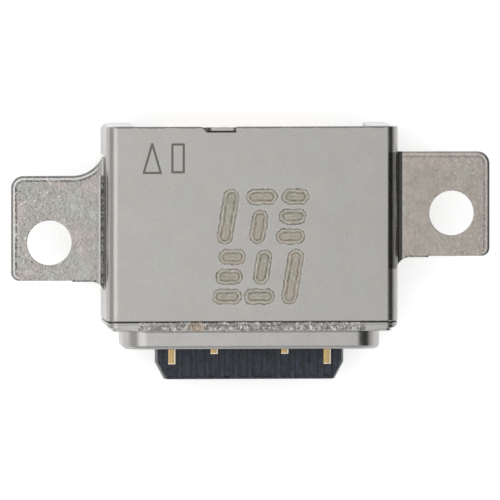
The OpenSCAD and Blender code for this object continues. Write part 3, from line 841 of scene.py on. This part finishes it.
def screw_hole(bm, side):
    """The middle and radius of an ear's hole: its wall's upright edges fold inwards."""
    found = []
    for e in bm.edges:
        a, b = (v.co for v in e.verts)
        upright = (a.xy - b.xy).length < MERGE and side * a.x > wall_x + 1.0 * mm
        if upright and not e.is_convex and FLAT < e.calc_face_angle(0) < SHARP:
            found.append(a.xy)
    outermost = max(found, key=lambda p: side * p.x)
    found = [p for p in found if (p - outermost).length < 1.7 * mm]
    low = Vector((min(p.x for p in found), min(p.y for p in found)))
    high = Vector((max(p.x for p in found), max(p.y for p in found)))
    middle = (low + high) / 2
    return middle, sum((p - middle).length for p in found) / len(found)


def is_punched_side(face, side, place):
    """True for the ear's upper face and the hollow side of its bend, which runs up the wall."""
    in_bend = side * place.x < wall_x + 0.4 * mm
    return face.normal.z > 0.3 or (in_bend and side * face.normal.x > 0.3 and face.normal.z > -0.1)


def share(value, low, high):
    """How far a value has come from low to high, from 0 to 1."""
    return min(1, max(0, (value - low) / (high - low)))


def cover_edge(e):
    """The die roll on the ears' upper outline, fading out at the front and the root, and a crisp
    edge elsewhere. The walls' inner edges, which no one sees, stay sharp."""
    middle = (e.verts[0].co + e.verts[1].co) / 2
    side = 1 if middle.x > 0 else -1
    reach = side * middle.x - wall_x
    if reach < -0.12 * mm and middle.z < top_z - 0.21 * mm:
        return 0.0
    punched = [is_punched_side(f, side, middle) for f in e.link_faces]
    in_hole = any((middle.xy - centre).length < radius + 0.01 * mm for centre, radius in holes)
    if reach < 0 or in_hole or all(punched) or not any(punched):
        return CRISP
    wall = e.link_faces[punched.index(False)]
    roll = share(reach, 0.35 * mm, 0.75 * mm) * share(wall.normal.y, -0.95, -0.3)
    return CRISP + (DIE_ROLL - CRISP) * roll


bm = merged_copy("outer_cover")
holes = [screw_hole(bm, side) for side in (-1, 1)]
cuts = []
for middle, radius in holes:
    place, size = [round(v / mm, 3) for v in middle], round(radius / mm, 3)
    print("screw hole at", place, "mm, radius", size, "mm")
    cuts += [((*middle, 0), (1, 0, 0)), ((*middle, 0), (0, 1, 0))]
make_faces_whole(bm, cuts)
for middle, radius in holes:
    finer_round(bm, middle, radius)
print("cover edges marked:", mark_edges(bm, DIE_ROLL, cover_edge))
cover = add_piece(bm, "folded_cover", cover_steel, ["outer_cover"])
round_edges(cover, DIE_ROLL, 3)

# %% [markdown]
# ## The drawn shell
# The shell is drawn from one sheet, with the lip round its opening and the collar that the cover
# is welded to. A face with a hole in it can't be rounded cleanly, so its flat faces are first
# parted along the opening's two middle planes. Its edges are crisp all round.

# %% Dress the shell
bm = merged_copy("main_shell")
make_faces_whole(bm, [((0, 0, 0), (1, 0, 0)), ((0, 0, plug_z), (0, 0, 1))])
print("shell edges marked:", mark_edges(bm, CRISP, lambda e: CRISP))
shell = add_piece(bm, "drawn_shell", shell_steel, ["main_shell"])
round_edges(shell, CRISP, 2)

# %% [markdown]
# ## Mouldings, plates and contacts
# Moulded edges are as sharp as the mould, so they get the smallest rounding, and stamped contacts
# and plates a little more. The mouldings are pierced by the contacts, so their flat faces are
# parted along the middle of every lane before they are rounded. One table says for each solid
# what its piece is called, what it is made of and how far its edges are rounded.

# %% Dress the mouldings, the plates and the contacts
FINE_EDGE = 0.014 * mm
STAMPED_EDGE = 0.02 * mm
dress = {
    "tongue_body": ("tongue", black_moulding, "black_moulding", FINE_EDGE),
    "upper_insulator": ("upper_block", black_moulding, "black_moulding", CRISP),
    "lower_insulator": ("lower_block", black_moulding, "black_moulding", CRISP),
    "mid_plate": ("middle_plate", plate_steel, "plate_steel", FINE_EDGE),
    "upper_ground_plate": ("upper_spring_plate", plate_steel, "plate_steel", FINE_EDGE),
    "lower_ground_plate": ("lower_spring_plate", plate_steel, "plate_steel", FINE_EDGE),
}
for name in sorted(nodes):
    if "contact" in name:
        gilt = name.replace("contact", "gilt_contact")
        dress[name] = (gilt, contact_gold, "contact_gold", STAMPED_EDGE)

lanes = [sum((c.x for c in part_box(f"upper_contact_{n}"))) / 2 for n in range(1, 13)]
across_lanes = [((x, 0, 0), (1, 0, 0)) for x in lanes]
pierced = ("tongue_body", "upper_insulator", "lower_insulator")

for node, (piece_name, finish, slot, width) in dress.items():
    bm = merged_copy(node)
    make_faces_whole(bm, across_lanes if node in pierced else ())
    mark_edges(bm, width, lambda e: width)
    round_edges(add_piece(bm, piece_name, finish, [node]), width, 2)
print(len(dress), "more solids dressed")

# %% [markdown]
# ## The laser weld
# A pulsed laser joins the cover to the shell's collar. Each pulse melts a spot, and the next one
# overlaps it, so the seam is a row of tilted scales, with a finer row close to the cover. A scale
# is a shallow dish turned by spin and tipped so that each one covers the start of the one before.
# Size, tilt and place vary a little, from a random row that starts the same way every time.

# %% Make one scale and repeat it along the seam
WELD_START, WELD_END = -3.95 * mm, 3.94 * mm
WELD_ROWS = (  # where along the part, how high, a scale's radius and the spacing
    (0.268 * mm, 3.487 * mm, 0.06 * mm, 0.07 * mm),
    (0.12 * mm, 3.43 * mm, 0.118 * mm, 0.1 * mm),
)
SCALE_H = 0.01 * mm
seam = random.Random(11)


def add_scale(bm, middle, radius, height, tip, turn):
    """One melted spot: a rim round a shallow dish, spun from half its section, then tipped."""
    half = [(0, 0.5), (0.5, 0.6), (0.78, 1.0), (0.93, 0.75), (1.0, -0.5)]
    points = [bm.verts.new((radius * r, 0, height * h)) for r, h in half]
    edges = [bm.edges.new(pair) for pair in zip(points, points[1:])]
    geometry = points + edges
    circle = {"axis": (0, 0, 1), "cent": (0, 0, 0), "angle": math.tau, "steps": 16}
    bmesh.ops.spin(bm, geom=geometry, use_merge=True, **circle)
    made = {v for v in points if v.is_valid}
    reach = list(made)
    while reach:
        for edge in reach.pop().link_edges:
            for v in edge.verts:
                if v not in made:
                    made.add(v)
                    reach.append(v)
    spot = list(made)
    turned = Matrix.Rotation(turn, 4, "Z") @ Matrix.Rotation(tip, 4, "Y")
    bmesh.ops.transform(bm, verts=spot, matrix=Matrix.Translation(middle) @ turned)


bm = bmesh.new()
for row_y, row_z, radius, spacing in WELD_ROWS:
    x = WELD_START
    while x < WELD_END:
        y = row_y + seam.uniform(-0.02, 0.02) * mm
        z = row_z + seam.uniform(-0.003, 0.003) * mm
        place = Vector((x, y, z))
        size, lift = radius * seam.uniform(0.75, 1.08), SCALE_H * seam.uniform(0.6, 1.2)
        add_scale(bm, place, size, lift, seam.uniform(-0.16, 0.04), seam.uniform(-0.9, 0.9))
        x += spacing * seam.uniform(0.7, 1.3)
bmesh.ops.remove_doubles(bm, verts=bm.verts, dist=MERGE)
bmesh.ops.recalc_face_normals(bm, faces=bm.faces)
add_piece(bm, "weld_seam", weld_steel)
print("seam from", WELD_START / mm, "to", WELD_END / mm)

# %% [markdown]
# ## Floor, light and camera
# The part stands on a plain white floor that stays white behind it and keeps a soft shadow. One
# soft lamp overhead lights the top evenly. It reaches further to the left, which draws a light
# line along the left bends, and a narrow dark card on the right draws the right bends' dark line.

# %% The floor
def floor_finish():
    material = bpy.data.materials.new("white_floor")
    material.use_nodes = True
    tree = material.node_tree
    tree.nodes.clear()
    rays = put(tree, "ShaderNodeLightPath").outputs
    seen = maths(tree, "MAXIMUM", rays["Is Camera Ray"], rays["Is Glossy Ray"])
    seen = maths(tree, "MAXIMUM", seen, rays["Is Transmission Ray"])
    grain = noise(tree, put(tree, "ShaderNodeTexCoord").outputs["Object"], 40, 3)
    tone = blend(tree, scaled(tree, grain, 0, 1), (0.88, 0.88, 0.88, 1), (0.9, 0.9, 0.9, 1))
    matt = put(tree, "ShaderNodeBsdfDiffuse", {"Color": tone}).outputs[0]
    glow = put(tree, "ShaderNodeEmission", {"Strength": times(tree, seen, 0.55)}).outputs[0]
    both = put(tree, "ShaderNodeAddShader", {0: matt, 1: glow}).outputs[0]
    put(tree, "ShaderNodeOutputMaterial", {"Surface": both})
    return material


bm = bmesh.new()
bmesh.ops.create_grid(bm, x_segments=1, y_segments=1, size=2.0)
bmesh.ops.translate(bm, verts=bm.verts, vec=(0, 0, -0.01 * mm))
floor_mesh = bpy.data.meshes.new("floor")
bm.to_mesh(floor_mesh)
bm.free()
floor = bpy.data.objects.new("floor", floor_mesh)
floor_mesh.materials.append(floor_finish())
bpy.context.scene.collection.objects.link(floor)
print("floor", list(floor.dimensions), "m")

# %% The world: white to the camera, a pale room to the steel, and soft light to the rest
world = bpy.data.worlds.new("studio")
bpy.context.scene.world = world
world.use_nodes = True
tree = world.node_tree
tree.nodes.clear()
rays = put(tree, "ShaderNodeLightPath").outputs
mirrored = maths(tree, "MAXIMUM", rays["Is Glossy Ray"], rays["Is Transmission Ray"])
direction = put(tree, "ShaderNodeTexCoord").outputs["Generated"]
height = put(tree, "ShaderNodeSeparateXYZ", {0: direction}).outputs[2]
walls = ramp(tree, height, 0.1, 0.5, 0.74, 0.62)
strength = put(tree, "ShaderNodeMix", {0: mirrored, 2: 0.55, 3: walls}).outputs[0]
strength = put(tree, "ShaderNodeMix", {0: rays["Is Camera Ray"], 2: strength, 3: 1.0}).outputs[0]
sky = put(tree, "ShaderNodeBackground", {"Color": (1, 1, 1, 1), "Strength": strength}).outputs[0]
put(tree, "ShaderNodeOutputWorld", {"Surface": sky})
print("world:", world.name)

# %% The lamp and the dark card
target = Vector((0, middle_y, top_z))


def aimed(place, up):
    """A rotation that looks from place at the part, with the given way up."""
    back = (place - target).normalized()
    right = up.cross(back).normalized()
    return Matrix((right, back.cross(right), back)).transposed().to_4x4()


def soft_lamp(name, place, width, height, brightness, up=Vector((0, 1, 0))):
    """An area lamp whose face looks as bright as a white card in full light times brightness."""
    lamp = bpy.data.lights.new(name, "AREA")
    lamp.shape = "RECTANGLE"
    lamp.size, lamp.size_y = width, height
    lamp.energy = brightness * math.pi * width * height
    holder = bpy.data.objects.new(name, lamp)
    bpy.context.scene.collection.objects.link(holder)
    holder.matrix_world = Matrix.Translation(place) @ aimed(place, up)
    holder.visible_camera = False
    return holder


overhead = soft_lamp("overhead", Vector((-0.16, 0.02, 0.48)), 0.42, 0.5, 1.0)
print("lamp", round(overhead.data.energy, 2), "W")


def card(name, direction, away, low, high, width, tone):
    """An upright card beside the part, outside the view, that only shows in the steel."""
    bm = bmesh.new()
    bmesh.ops.create_grid(bm, x_segments=1, y_segments=1, size=0.5)
    bmesh.ops.rotate(bm, verts=bm.verts, matrix=Matrix.Rotation(math.radians(90), 3, "Y"))
    bmesh.ops.scale(bm, verts=bm.verts, vec=(1, width, high - low))
    bmesh.ops.translate(bm, verts=bm.verts, vec=(away, 0, (low + high) / 2))
    bmesh.ops.rotate(bm, verts=bm.verts, matrix=Matrix.Rotation(math.radians(direction), 3, "Z"))
    bmesh.ops.translate(bm, verts=bm.verts, vec=(0, middle_y, 0))
    mesh = bpy.data.meshes.new(name)
    bm.to_mesh(mesh)
    bm.free()
    material = bpy.data.materials.new(name)
    material.use_nodes = True
    shader = material.node_tree.nodes["Principled BSDF"]
    shader.inputs["Base Color"].default_value = (tone, tone, tone, 1)
    shader.inputs["Roughness"].default_value = 1.0
    mesh.materials.append(material)
    held = bpy.data.objects.new(name, mesh)
    bpy.context.scene.collection.objects.link(held)
    held.visible_camera = False
    held.visible_shadow = False
    held.visible_diffuse = False
    return held


dark_card = card("dark_card_right", 0, 0.12, 0.06, 0.43, 0.18, 0.012)
print("card", [round(v, 3) for v in dark_card.dimensions], "m")

# %% [markdown]
# The camera looks down on the cover from far away, so that near and far edges are drawn at almost
# the same scale. It leans a little to the left and to the rear, and turns so that the part's
# length stays upright in the picture. A long lens fills the frame from there.

# %% The camera
LEAN_LEFT, LEAN_BACK = math.radians(4.0), math.radians(2.75)
DISTANCE = 0.6
FRAME_WIDTH = 17.606 * mm
back = Vector((-math.tan(LEAN_LEFT), math.tan(LEAN_BACK), 1)).normalized()
centre = Vector((-0.093 * mm, 2.874 * mm, top_z))
right = Vector((0, 1, 0)).cross(back).normalized()
camera_data = bpy.data.cameras.new("camera")
camera_data.sensor_width = 36
camera_data.lens = 36 * DISTANCE / FRAME_WIDTH
camera_data.clip_start = 0.01
camera_data.clip_end = 10
camera = bpy.data.objects.new("camera", camera_data)
bpy.context.scene.collection.objects.link(camera)
turn = Matrix((right, back.cross(right), back)).transposed().to_4x4()
camera.matrix_world = Matrix.Translation(centre + back * DISTANCE) @ turn
bpy.context.scene.camera = camera
bpy.context.scene.view_settings.view_transform = "Standard"
print("lens", round(camera_data.lens), "mm")
